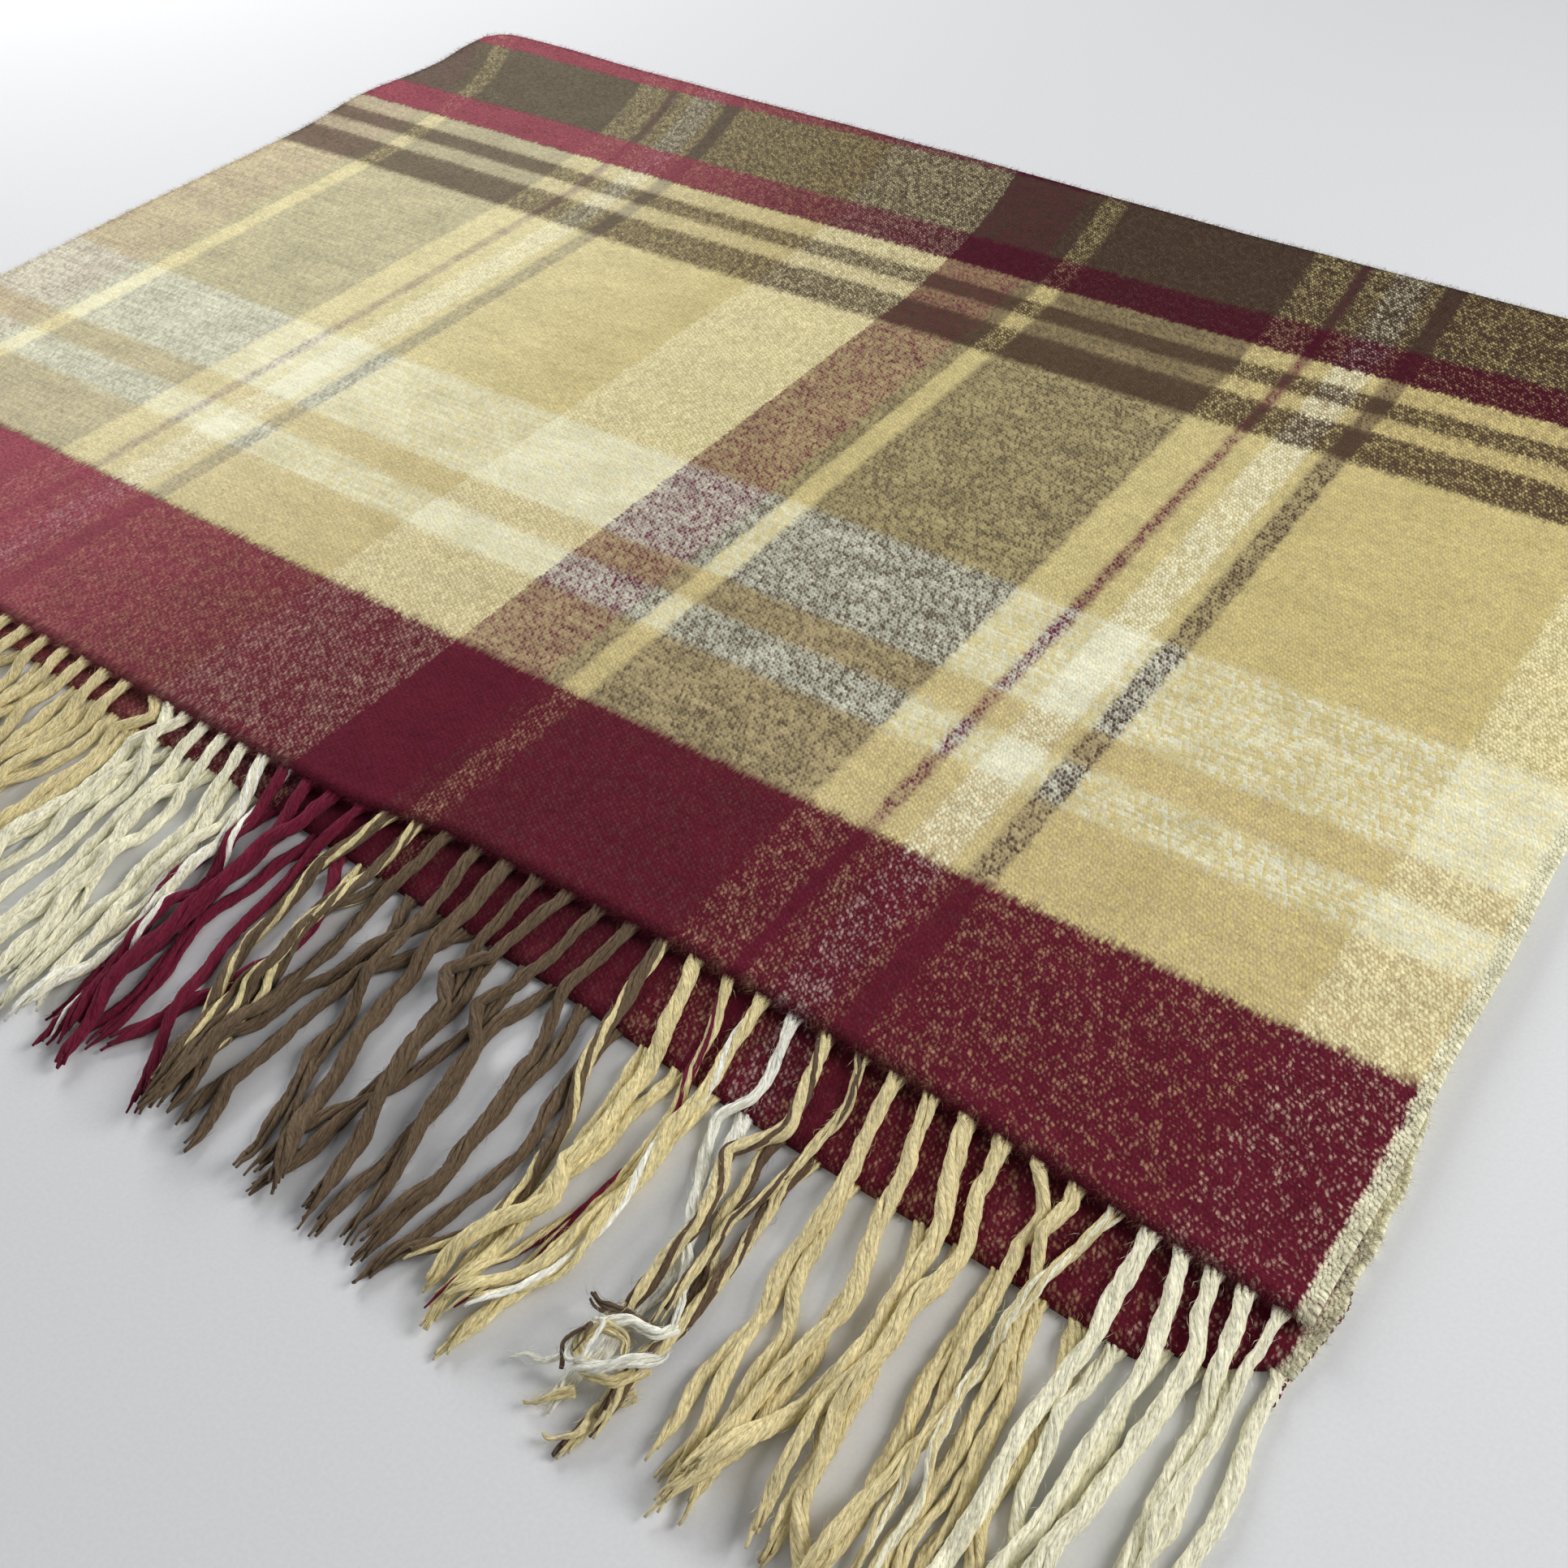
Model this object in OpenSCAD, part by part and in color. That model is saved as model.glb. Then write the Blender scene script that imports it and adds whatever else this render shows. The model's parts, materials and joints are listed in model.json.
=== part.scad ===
// Folded throw blanket
// A woven plaid throw, folded once across its width, with a twisted fringe on both ends.
// The two fringed ends lie together at the front (-Y), and the fold is at the back (+Y).
// +X runs along the fringe, +Z is up, and the origin is under the middle of the whole folded throw.

/* [Cloth] */
// Width of the throw, along the fringe
cloth_w = 704; // [500:1:900]
// Depth of the folded throw at its middle, from the upper front edge to the fold
panel_depth = 485; // [350:1:700]
// Thickness of one layer of brushed cloth
cloth_t = 2.6; // [1.5:0.1:4]
// How far the lower layer shows in front of the upper one at the right end
lower_ahead_right = 33; // [10:1:60]
// How far the lower layer shows in front of the upper one at the left end
lower_ahead_left = 5; // [4:1:60]
// How far the lower layer shows to the right of the upper one
lower_aside = 6; // [0:0.5:20]

/* [Fold] */
// Air between the two layers
layer_gap = 0.4; // [0.3:0.05:2]
// Angle between the fold and the fringed edge; the left side is the deeper one
fold_slant = 2.5; // [0:0.1:5]
// Clearance between pieces that turn about a hinge line
turn_gap = 0.3; // [0.2:0.05:0.6]

/* [Fringe] */
// Length of an upper tassel
upper_tassel_len = 122; // [60:1:160]
// Length of a lower tassel, which ends nearly level with the upper ones
lower_tassel_len = 97; // [60:1:160]
// Width of one tassel as it lies
tassel_w = 5.6; // [3:0.1:8]

/* [Hidden] */
$fn = 32;
// Colours of the warp from the left edge, repeated twice, with the tassels that each one makes
YARNS = ["burgundy", "toffee", "brown", "gold", "white", "taupe", "tan", "cream"];
LEFT_COUNTS = [4, 2, 8, 3, 1, 2, 8, 6];
RIGHT_COUNTS = [4, 2, 8, 3, 1, 2, 7, 5];
// How much of the hem each of those groups takes, in parts of the hem's whole width
LEFT_SHARES = [43, 20, 92, 35, 10, 20, 88, 57];
RIGHT_SHARES = [43, 20, 92, 35, 10, 23, 75, 41];
YARN_COLOURS = ["#732841", "#8f6f45", "#6b5844", "#c3ad78", "#e9e4d2", "#94836a", "#c0ab82", "#dcd5b8"];
CLOTH_COLOUR = "#bda985";
FOLD_COLOUR = "#7a3a4c";

function total(list, last) = last < 0 ? 0 : list[last] + total(list, last - 1);
last_yarn = len(YARNS) - 1;
left_shares = total(LEFT_SHARES, last_yarn);
hem_shares = left_shares + total(RIGHT_SHARES, last_yarn);
share_w = cloth_w / hem_shares;
end_pitch = share_w * RIGHT_SHARES[last_yarn] / RIGHT_COUNTS[last_yarn];

bend_outer_r = cloth_t + layer_gap / 2;
bend_inner_r = layer_gap / 2;
upper_z = cloth_t + layer_gap;
stack_h = upper_z + cloth_t;
upper_x = -lower_aside / 2;
lower_x = lower_aside / 2;
side_rise = cloth_w / 2 * tan(fold_slant);
lower_slant = atan((lower_ahead_right - lower_ahead_left) / cloth_w);
lower_tip_ahead = (lower_tassel_len - tassel_w / 2) * cos(lower_slant) + tassel_w / 2;
fringe_reach = max(upper_tassel_len, lower_ahead_right - end_pitch / 2 * sin(lower_slant) + lower_tip_ahead);
total_depth = fringe_reach + panel_depth + side_rise;
upper_front_y = fringe_reach - total_depth / 2;
lower_front_y = upper_front_y - (lower_ahead_left + lower_ahead_right) / 2;
fold_y = upper_front_y + panel_depth;

// Half of the fold's cross-section in the Y-Z plane: a quarter ring about the middle of the fold.
// top is 1 for the upper half and -1 for the lower half, which stay apart by half the turning gap each.
module fold_half(x_mid, top) {
    translate([x_mid, fold_y - x_mid * tan(fold_slant), stack_h / 2])
        rotate([0, 0, -fold_slant])
            translate([-cloth_w / 2, -bend_outer_r, 0])
                rotate([90, 0, 90])
                    linear_extrude(cloth_w)
                        intersection() {
                            difference() {
                                circle(bend_outer_r);
                                circle(bend_inner_r);
                            }
                            translate([0, top > 0 ? turn_gap / 2 : -bend_outer_r])
                                square([bend_outer_r, bend_outer_r - turn_gap / 2]);
                        }
}

// One flat layer, from its front edge to the place where the fold starts to turn.
// front_y is the front edge at x = x_mid, and front_slant its angle: the left end is further back.
module layer(x_mid, front_y, front_slant, bottom_z) {
    back_mid = fold_y - bend_outer_r / cos(fold_slant);
    left = x_mid - cloth_w / 2;
    right = x_mid + cloth_w / 2;
    translate([0, 0, bottom_z])
        linear_extrude(cloth_t)
            polygon([
                [left, front_y + cloth_w / 2 * tan(front_slant)],
                [right, front_y - cloth_w / 2 * tan(front_slant)],
                [right, back_mid - right * tan(fold_slant)],
                [left, back_mid - left * tan(fold_slant)]
            ]);
}

// One tassel lying flat and straight, its root at the origin and its rounded tip towards -Y.
module tassel(length) {
    linear_extrude(cloth_t)
        union() {
            translate([-tassel_w / 2, tassel_w / 2 - length])
                square([tassel_w, length - tassel_w / 2]);
            translate([0, tassel_w / 2 - length])
                circle(tassel_w / 2);
        }
}

// The tassels of one colour on one side of one layer, spread evenly over their part of the hem.
// from_left is where that part starts, measured along the hem from the left edge of the cloth.
module tassel_group(x_mid, root_y, front_slant, bottom_z, length, from_left, width, count) {
    translate([x_mid, root_y, bottom_z])
        rotate([0, 0, -front_slant])
            for (i = [0 : count - 1])
                translate([
                    (from_left + (i + 0.5) * width / count - cloth_w / 2) / cos(front_slant),
                    -turn_gap,
                    0
                ])
                    tassel(length - turn_gap);
}

module fringe_part(layer, side, yarn) {
    i = search([yarn], YARNS)[0];
    counts = side == "left" ? LEFT_COUNTS : RIGHT_COUNTS;
    shares = side == "left" ? LEFT_SHARES : RIGHT_SHARES;
    from_left = share_w * ((side == "left" ? 0 : left_shares) + total(shares, i - 1));
    width = share_w * shares[i];
    color(YARN_COLOURS[i])
        if (layer == "upper")
            tassel_group(
                upper_x, upper_front_y, 0, upper_z, upper_tassel_len, from_left, width, counts[i]
            );
        else
            tassel_group(
                lower_x, lower_front_y, lower_slant, 0, lower_tassel_len, from_left, width, counts[i]
            );
}

module lower_panel() {
    color(CLOTH_COLOUR) layer(lower_x, lower_front_y, lower_slant, 0);
}

module upper_panel() {
    color(CLOTH_COLOUR) layer(upper_x, upper_front_y, 0, upper_z);
}

module lower_fold() {
    color(FOLD_COLOUR) fold_half(lower_x, -1);
}

module upper_fold() {
    color(FOLD_COLOUR) fold_half(upper_x, 1);
}

lower_panel();
lower_fold();
upper_panel();
upper_fold();
for (layer = ["upper", "lower"], side = ["left", "right"], yarn = YARNS)
    fringe_part(layer, side, yarn);
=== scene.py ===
"""The folded throw blanket's looks: brushed plaid cloth, yarn fringe, pale floor, light and camera."""

import json
import math
from types import SimpleNamespace

import bpy
import numpy as np
from mathutils import Matrix, Vector


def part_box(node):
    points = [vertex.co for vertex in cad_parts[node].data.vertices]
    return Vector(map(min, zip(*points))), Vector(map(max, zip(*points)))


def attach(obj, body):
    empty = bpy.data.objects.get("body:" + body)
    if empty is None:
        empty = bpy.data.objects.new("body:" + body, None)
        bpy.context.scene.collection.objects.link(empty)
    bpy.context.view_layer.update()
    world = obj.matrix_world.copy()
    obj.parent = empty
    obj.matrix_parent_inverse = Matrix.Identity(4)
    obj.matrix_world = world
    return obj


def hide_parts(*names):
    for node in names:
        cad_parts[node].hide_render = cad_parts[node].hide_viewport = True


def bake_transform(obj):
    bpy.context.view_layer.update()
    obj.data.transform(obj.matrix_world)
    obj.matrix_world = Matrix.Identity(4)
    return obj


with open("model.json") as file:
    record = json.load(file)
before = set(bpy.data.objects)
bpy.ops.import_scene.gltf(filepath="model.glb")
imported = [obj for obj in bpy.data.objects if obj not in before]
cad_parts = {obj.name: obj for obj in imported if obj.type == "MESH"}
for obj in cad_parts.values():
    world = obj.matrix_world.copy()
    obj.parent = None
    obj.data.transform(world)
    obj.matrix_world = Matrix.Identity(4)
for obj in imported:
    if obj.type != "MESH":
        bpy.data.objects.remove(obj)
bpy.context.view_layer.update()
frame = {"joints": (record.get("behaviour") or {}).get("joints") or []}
MM = 0.001
TAU = math.tau


def hinge(name):
    """A point on a joint's axis, and how far forward the axis runs for each metre to the right."""
    joint = next(joint for joint in frame["joints"] if joint["name"] == name)
    return joint["pos_m"], joint["axis"][1] / -joint["axis"][0]


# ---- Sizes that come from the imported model, in metres ----
upper_low, upper_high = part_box("upper_panel")
lower_low, lower_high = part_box("lower_panel")
CLOTH_T = upper_high.z - upper_low.z
STACK_H = upper_high.z
UPPER_LEFT, UPPER_RIGHT = upper_low.x, upper_high.x
LOWER_LEFT, LOWER_RIGHT = lower_low.x, lower_high.x
CLOTH_W = UPPER_RIGHT - UPPER_LEFT
FRONT_Y = upper_low.y
FOLD_POINT, FOLD_SLOPE = hinge("unfold")
LOWER_HEM_POINT, LOWER_HEM_SLOPE = hinge("lower_fringe_lift")
TURN_R = STACK_H / 2
UPPER_TASSEL_LEN = FRONT_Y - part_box("upper_right_burgundy_tassels")[0].y
LOWER_TASSEL_LEN = 97 * MM

# ---- How the cloth lies ----
# The layers' motions part inside the gap between them, this far from each
GAP_MARGIN = 0.15 * MM
# How far the upper layer may stand above its flat place: what stands up lies that much lower when opened
LIFT_LIMIT = CLOTH_T - GAP_MARGIN
# The highest that the tassels may stand
TOP_LIMIT = 14.4 * MM
# The upper hem reaches this far in front of its straight line
HEM_BULGE = 3.7 * MM
# The upper hem doesn't press on the lower layer
HEM_LIFT = 1.6 * MM
# How high, in mm: slack cloth at the left, the left edge's curl, a ridge that runs in from it, the puffed
# far left corner, waves all over, and fine ripples
SLACK, CURL, RIDGE, PUFF, WAVES, RIPPLES = 0.5, 0.6, 1.4, 1.6, 0.7, 0.14
# The radius of the throw's far left corner
CORNER_R = 14 * MM
# How far inwards an edge's own wandering dies away
EDGE_REACH = 30 * MM
# Near the fold the lengthwise stripes bend left, by this share of their distance from the right edge
STRIPE_LEAN = 0.058
# The lower layer's front colour band ends this far behind the upper hem line
LOWER_BAND_BACK = 26 * MM

# ---- The plaid, in mm: (width, yarn) of the warp from the left edge, and of the weft from the hem ----
PLAID_PERIOD = 364.3
LEFT_MARGIN = 6.8
SELVEDGE_FROM = 701.0
WARP = [
    (38.7, "burgundy"), (7.7, "brown"), (10.5, "gold"), (87.9, "brown"), (19.1, "gold"), (5.5, "burgundy"),
    (9.6, "gold"), (15.0, "white"), (5.5, "gold"), (9.1, "umber"), (89.7, "tan"), (66.0, "cream"),
]
WEFT = [
    (74.2, "burgundy"), (39.6, "sand"), (18.2, "cream"), (17.3, "sand"), (50.1, "cream"), (129.8, "tan"),
    (23.7, "brown"), (11.8, "gold"), (13.7, "brown"), (13.7, "gold"), (26.0, "wine"), (65.0, "coffee"),
    (44.0, "wine"),
]

# ---- Yarn colours as they look under the scene's light, 0 to 255 ----
WARP_LOOKS = {
    "burgundy": (98, 30, 56), "brown": (90, 78, 62), "gold": (204, 189, 132), "white": (228, 220, 186),
    "umber": (80, 62, 52), "tan": (198, 181, 122), "cream": (222, 212, 166), "selvedge": (236, 222, 192),
}
# Each weft's colour, and the share of the cloth's face that it covers
WEFT_LOOKS = {
    "burgundy": ((92, 26, 40), 0.95), "sand": ((190, 172, 128), 0.52), "cream": ((232, 228, 204), 0.38),
    "tan": ((188, 173, 124), 0.46), "brown": ((80, 62, 46), 0.82), "gold": ((156, 138, 98), 0.48),
    "wine": ((66, 12, 27), 0.98), "coffee": ((64, 47, 36), 0.85),
}
SELVEDGE_COVER = 0.12
# Painted sheen: the pale film laid over the left side, where the nap has the most brushing
PAINTED_SHEEN_LOOK = (230, 224, 194)
# Painted light and painted sheen on the burgundy stripes of that side, which make them rosier
PAINTED_ROSE_LIGHT_LOOK = (186, 72, 100)
# How a burgundy weft tints the warp that shows through it: factors for red, green and blue
FLECK_TINT = (1.08, 0.88, 1.12, 1.0)
# The twill: its floats' width and length in mm, their columns' slant, and the step from column to column
FLOAT_W, FLOAT_L, TWILL_SLANT, TWILL_STEP = 1.15, 2.35, 0.42, 0.37
# Noises over the plaid: width and length in mm, seed, detail and roughness
PLAID_NOISES = {
    "wisps": (1.3, 1.3, 0.0, 3.0, 0.6), "long_wisps": (1.2, 6.0, 3.0, 3.0, 0.6),
    "hairs": (0.5, 3.2, 11.0, 2.0, 0.6), "cross_hairs": (3.0, 0.5, 17.0, 2.0, 0.6),
    "sway": (7.0, 9.0, 23.0), "weft_sway": (8.0, 6.0, 29.0), "slub": (30.0, 1.5, 37.0),
    "patchy": (24.0, 18.0, 41.0, 3.0), "clumps": (3.2, 4.6, 47.0, 3.0, 0.6),
}
YARN_LOOKS = {
    "burgundy": (102, 28, 48), "brown": (98, 82, 64), "umber": (92, 74, 58), "gold": (208, 194, 146),
    "white": (228, 225, 212), "tan": (205, 191, 146), "cream": (222, 218, 192),
}
# The tassels of two yarns: the main one, the second one, and how many of the seven yarns are of the second
TASSEL_MIX = {"toffee": ("brown", "gold", 2), "taupe": ("tan", "umber", 3)}
# How bright the scene's light makes a white surface
LIGHT_LEVEL = 0.80

# ---- The fringe: how many tassels of each yarn lie in each half, from the left ----
TASSEL_ORDER = ["burgundy", "toffee", "brown", "gold", "white", "taupe", "tan", "cream"]
TASSEL_COUNTS = {"left": [4, 2, 8, 3, 1, 2, 8, 6], "right": [4, 2, 8, 3, 1, 2, 7, 5]}
# How far each upper tassel has drifted to the right at each quarter of its length, in mm
DRIFTS = {
    ("right", "burgundy"): [(10, 16, 21, 25), (8, 11, 13, 18), (0, 1, 6, 14), (0, 5, 15, 32)],
    ("right", "toffee"): [(-4, -1, 14, 24), (4, 6, 7, 19)],
    ("right", "brown"): [
        (-1, 2, 4, 9), (5, 9, 17, 32), (3, 5, 14, 28), (2, 11, 22, 26),
        (-3, 1, 10, 16), (-2, 3, 11, 17), (-1, 8, 13, 8), (4, 14, 23, 6),
    ],
    ("right", "gold"): [(9, 15, 14, 3), (11, 16, 9, 4), (5, 7, 7, -8)],
    ("right", "tan"): [
        (5, 7, 10, 12), (7, 14, 11, 8), (10, 13, 9, -4), (7, 6, 4, 11), (8, 11, 13, 6), (4, 9, 9, 10),
        (-6, -8, -4, -2),
    ],
    ("right", "cream"): [(1, -1, 0, -2), (6, 4, 2, 2), (6, 3, 2, 3), (4, 5, 5, 4), (0, -1, 2, 5)],
    ("left", "tan"): [
        (3, 6, 9, 11), (3, 5, 8, 9), (4, 8, 12, 14), (5, 10, 14, 17), (2, 6, 8, 12), (4, 6, 9, 12),
        (3, 4, 7, 9), (6, 9, 8, 6),
    ],
    ("left", "cream"): [
        (5, 8, 12, 13), (8, 12, 14, 17), (6, 10, 14, 16), (9, 13, 15, 20), (9, 13, 17, 21), (15, 23, 24, 20),
    ],
}
# The three tassels that end in the knot: (right, forward) of the root, in mm
ROUTES = {
    ("right", "white", 0): [
        (0, 0), (3, 12), (6, 23), (6, 27), (0.5, 36), (3, 43), (9, 54), (17, 68), (27, 84), (30, 92),
    ],
    ("right", "taupe", 0): [
        (0, 0), (5, 18), (8, 30), (4, 37), (-1, 43), (4, 52), (7, 64), (6, 78), (6, 90), (10, 98),
    ],
    ("right", "taupe", 1): [(0, 0), (5, 14), (5, 30), (3, 46), (0, 58), (2, 72), (3, 84), (2, 93)],
}
# The knot's strands: yarn, number of yarns, and points, in mm to the right of the white tassel's root,
# forward of it, and above the floor
KNOT = [
    ("white", 4, [(30, 88, 5), (28, 93, 8), (21, 94.5, 10), (15, 99, 8), (13, 105, 6.5), (17, 109, 7.5)]),
    ("white", 4, [(17, 109, 7.5), (22, 108, 9.5), (28, 102.5, 10.5), (33, 97.5, 8), (32, 94, 5)]),
    ("brown", 4, [(28, 91, 4), (20, 92, 5.5), (12, 95, 8), (8, 93, 9)]),
    ("tan", 4, [
        (31, 99, 5), (27, 107, 6), (19, 109, 7), (14, 104, 8), (17, 98, 9), (24, 98, 9), (26, 103, 8),
    ]),
    ("tan", 3, [(32, 105, 3.5), (26, 112.5, 3), (27, 119, 3), (22, 124, 2.4), (19, 123, 2.4)]),
    ("tan", 3, [(20, 112, 3.5), (16, 116, 3.5), (13, 120, 2.4), (10, 121, 2.4)]),
    ("white", 2, [(12, 108, 4), (9, 112, 3.5), (4, 112, 3), (2, 116, 2.4)]),
    ("white", 1, [
        (13, 97, 6), (18, 99, 11), (19, 107, 10.5), (15, 109, 8), (13, 104, 9), (17, 98, 11), (20, 102, 11),
    ]),
    ("brown", 1, [(15, 111, 5), (12, 106, 10), (15, 99, 10.5), (18, 104, 11.5), (16, 110, 9.5)]),
]
# Sharp kinks: (share of the length, sideways step in mm) by side, yarn and number in its group
KINKS = {
    ("right", "brown", 4): (0.34, -9), ("right", "brown", 5): (0.38, -7), ("right", "gold", 0): (0.70, 5),
    ("right", "tan", 4): (0.10, 5), ("right", "tan", 5): (0.14, -4),
    ("left", "tan", 7): (0.06, 9), ("left", "cream", 0): (0.08, 6), ("left", "cream", 1): (0.12, -4),
}
THICK_TASSELS = {("right", "gold", 0), ("right", "tan", 2), ("right", "brown", 2), ("left", "cream", 0)}
THIN_TASSELS = {
    ("right", "tan", 6), ("right", "cream", 4), ("right", "gold", 1), ("right", "taupe", 1),
    ("right", "white", 0),
}
# Odd yarns in a tassel: (yarn, how many)
STRANDS = {
    ("right", "burgundy", 0): ("white", 1), ("right", "gold", 1): ("burgundy", 2),
    ("right", "gold", 2): ("white", 1), ("right", "brown", 7): ("gold", 2),
    ("right", "tan", 6): ("cream", 3), ("left", "cream", 5): ("white", 3),
}
# One tassel, in mm: its yarns' radius, their spread sideways and upwards, their spacing at the hem, and how
# far from the hem they have gathered and come down
YARN_R = 0.92
BUNDLE_SIDE = 1.1
BUNDLE_UP = 0.95
FAN_STEP = 0.9
GATHERED_AT = 9
LANDS_AT = 20
# Where a tassel's centreline runs inside the hem, in mm behind its edge
INSIDE_HEM = (3.6, 2.4, 1.2)
# One yarn: sides, length of a turn of its two plies, depth of their groove as a share of its radius, loose
# hairs, and distance between the rings of its mesh
YARN_SIDES = 6
PLY_TURN = 17 * MM
PLY_DEPTH = 0.06
YARN_HAIRS = 30
RING_STEP = 1.2 * MM
# The fibres of each coat of nap on the upper layer, and those of the lower layer's edges
NAP_FIBRES = 30000
LOWER_NAP_FIBRES = 8000

random = np.random.default_rng(23)
uniform, normal = random.uniform, random.normal


# ---- Shapes that the cloth and the fringe share ----
def ease(t):
    """0 below 0, 1 above 1, and a soft slope between."""
    t = np.clip(t, 0, 1)
    return t * t * (3 - 2 * t)


def bump(distance, width):
    """A soft hump of height 1 at distance 0."""
    return np.exp(-(distance / width) ** 2)


def keep_under(value, limit, softness):
    """The value, held softly under the limit."""
    return limit - softness * np.log1p(np.exp(np.clip((limit - value) / softness, -40, 40)))


def unit(vectors):
    return vectors / (np.linalg.norm(vectors, axis=-1, keepdims=True) + 1e-12)


def lengths(points):
    """The length along a path up to each of its points."""
    return np.concatenate([[0], np.cumsum(np.linalg.norm(np.diff(points, axis=0), axis=1))])


def path_axes(path):
    """At each point of a path: its direction, sideways, and upwards."""
    tangent = unit(np.gradient(path, axis=0))
    sideways = unit(np.cross(tangent, [0, 0, 1.0]) + [1e-6, 0, 0])
    return tangent, sideways, np.cross(sideways, tangent)


def fold_y(x):
    return FOLD_POINT[1] - x * FOLD_SLOPE


def back_y(x):
    """Where a layer turns into the fold, whose left corner is rounded and drawn forward."""
    drawn = 1.5 * ease((-0.25 - x) / 0.10) * MM
    into_corner = np.clip(CORNER_R - (x - UPPER_LEFT), 0, CORNER_R) / CORNER_R
    rounded = CORNER_R * (1 - np.sqrt(1 - into_corner ** 2 * 0.98))
    return fold_y(x) - TURN_R - drawn - 0.8 * rounded


def upper_hem_y(x):
    """The upper hem lies a little forward on the left and at the right corner."""
    left = 6.6 * ease((0.085 - x) / 0.05)
    middle = -4.0 * bump(x - 0.16, 0.07)
    right = 4.5 * ease((x - 0.24) / 0.11)
    return FRONT_Y - (left + middle + right) * MM


def lower_hem_y(x):
    """The lower hem follows its line, but its right corner is drawn back."""
    wander = 0.8 * np.sin(x / 0.05) + 0.5 * np.sin(x / 0.021 + 1)
    corner = 7 * ease((x - 0.322) / 0.008) + 9 * ease((x - 0.338) / 0.014)
    return LOWER_HEM_POINT[1] - (x - LOWER_HEM_POINT[0]) * LOWER_HEM_SLOPE + (wander + corner) * MM


def lift(x, y):
    """How far the upper layer stands above its flat place."""
    from_left = np.clip(x - UPPER_LEFT, 0, None)
    slack = SLACK * ease((-0.06 - x) / 0.16) * ease((y + 0.02) / 0.12)
    curl = (CURL + 0.4 * np.sin(y / 0.031 + 0.4)) * np.exp(-from_left / 0.045)
    ridge = RIDGE * bump(y - 0.203, 0.025) * np.exp(-from_left / 0.10)
    puff = PUFF * ease((-0.27 - x) / 0.06) * ease((y - 0.262) / 0.035)
    waves = WAVES + 0.35 * np.sin(x / 0.045 + y / 0.11) + 0.25 * np.sin(y / 0.05 - x / 0.09 + 1.3)
    ripples = RIPPLES * np.sin(x / 0.012 + 1.7 * np.sin(y / 0.02)) * np.sin(y / 0.016 + x / 0.05)
    from_hem = np.clip(y - upper_hem_y(x), 0, None)
    inside = ease(from_hem / 0.04)
    hem = HEM_LIFT * (1 + 0.3 * np.sin(x / 0.037 + 0.8)) * np.exp(-from_hem / 0.03)
    raised = ((slack + curl + ridge + waves + ripples) * inside + puff) * MM + hem
    return keep_under(np.maximum(raised, 0.05 * MM), LIFT_LIMIT, 0.3 * MM)


def upper_place(share, row):
    """Plan of the upper layer: share runs from the left edge, 0, to the right, 1, row from hem to fold."""
    straight = UPPER_LEFT + share * CLOTH_W
    front, back = upper_hem_y(straight), back_y(straight)
    y = front + row * (back - front)
    spill = (4.0 + 5.0 * bump(y - 0.205, 0.03) + 4.0 * ease((y - 0.25) / 0.04)) * MM
    left = spill * np.exp(-share * CLOTH_W / EDGE_REACH)
    right = (2.5 + 0.4 * np.sin(y / 0.013)) * MM * np.exp(-(1 - share) * CLOTH_W / EDGE_REACH)
    return straight - left + right, y


def lower_place(share, row):
    """Plan of the lower layer, whose right edge shows beside the upper one near the front."""
    straight = LOWER_LEFT + share * CLOTH_W
    front, back = lower_hem_y(straight), back_y(straight)
    y = front + row * (back - front)
    drawn_in = (6.5 * ease((y + 0.150) / 0.06) + 3 * ease((-0.188 - y) / 0.015)) * MM
    rough = 0.5 * np.sin(y / 0.0031) * MM
    return straight - (drawn_in + rough) * np.exp(-(1 - share) * CLOTH_W / EDGE_REACH), y


def upper_length(x, y):
    """The cloth's own length from its hem, measured as if the hem were straight."""
    return np.clip(y - (FRONT_Y - HEM_BULGE), 0, None)


def stripe_place(share, x, y):
    """The cloth's own place across its width, shifted near the fold."""
    near_fold = np.clip((y - 0.150) / 0.140, 0, 1.1) ** 1.8
    return share * CLOTH_W + STRIPE_LEAN * np.clip(UPPER_RIGHT - x, 0, None) * near_fold


def lower_length(x, y):
    """The lower layer's own length from its hem, so that its front band ends where the photo shows it."""
    band = WEFT[0][0] * MM
    band_y = FRONT_Y + LOWER_BAND_BACK
    back = back_y(x)
    return np.clip(band + (upper_length(x, back) - band) * (y - band_y) / (back - band_y), 0, None)


def upper_top(x, y):
    return STACK_H + lift(x, y)


def lower_top(x, y):
    return np.full_like(x, CLOTH_T)


# Plan, length from the hem and height of the face of each layer
FACES = {
    "upper": (upper_place, upper_length, upper_top),
    "lower": (lower_place, lower_length, lower_top),
}


# ---- Meshes ----
def add_object(name, data):
    made = bpy.data.objects.new(name, data)
    bpy.context.scene.collection.objects.link(made)
    return made


def make_object(name, shape, materials, slots=None):
    """A mesh object with one UV layer. shape is (points, face corners, face sizes, the UV of each corner)."""
    points, corners, sizes, uvs = shape
    mesh = bpy.data.meshes.new(name)
    mesh.vertices.add(len(points))
    mesh.vertices.foreach_set("co", np.asarray(points, np.float32).ravel())
    mesh.loops.add(len(corners))
    mesh.loops.foreach_set("vertex_index", np.asarray(corners, np.int32))
    mesh.polygons.add(len(sizes))
    mesh.polygons.foreach_set("loop_start", (np.cumsum(sizes) - sizes).astype(np.int32))
    mesh.polygons.foreach_set("loop_total", np.asarray(sizes, np.int32))
    mesh.polygons.foreach_set("use_smooth", np.ones(len(sizes), bool))
    layer = mesh.uv_layers.new(name="cloth")
    layer.data.foreach_set("uv", np.asarray(uvs, np.float32).ravel())
    for material in materials:
        mesh.materials.append(material)
    if slots is not None:
        mesh.polygons.foreach_set("material_index", np.asarray(slots, np.int32))
    mesh.update()
    mesh.validate()
    return add_object(name, mesh)


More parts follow.
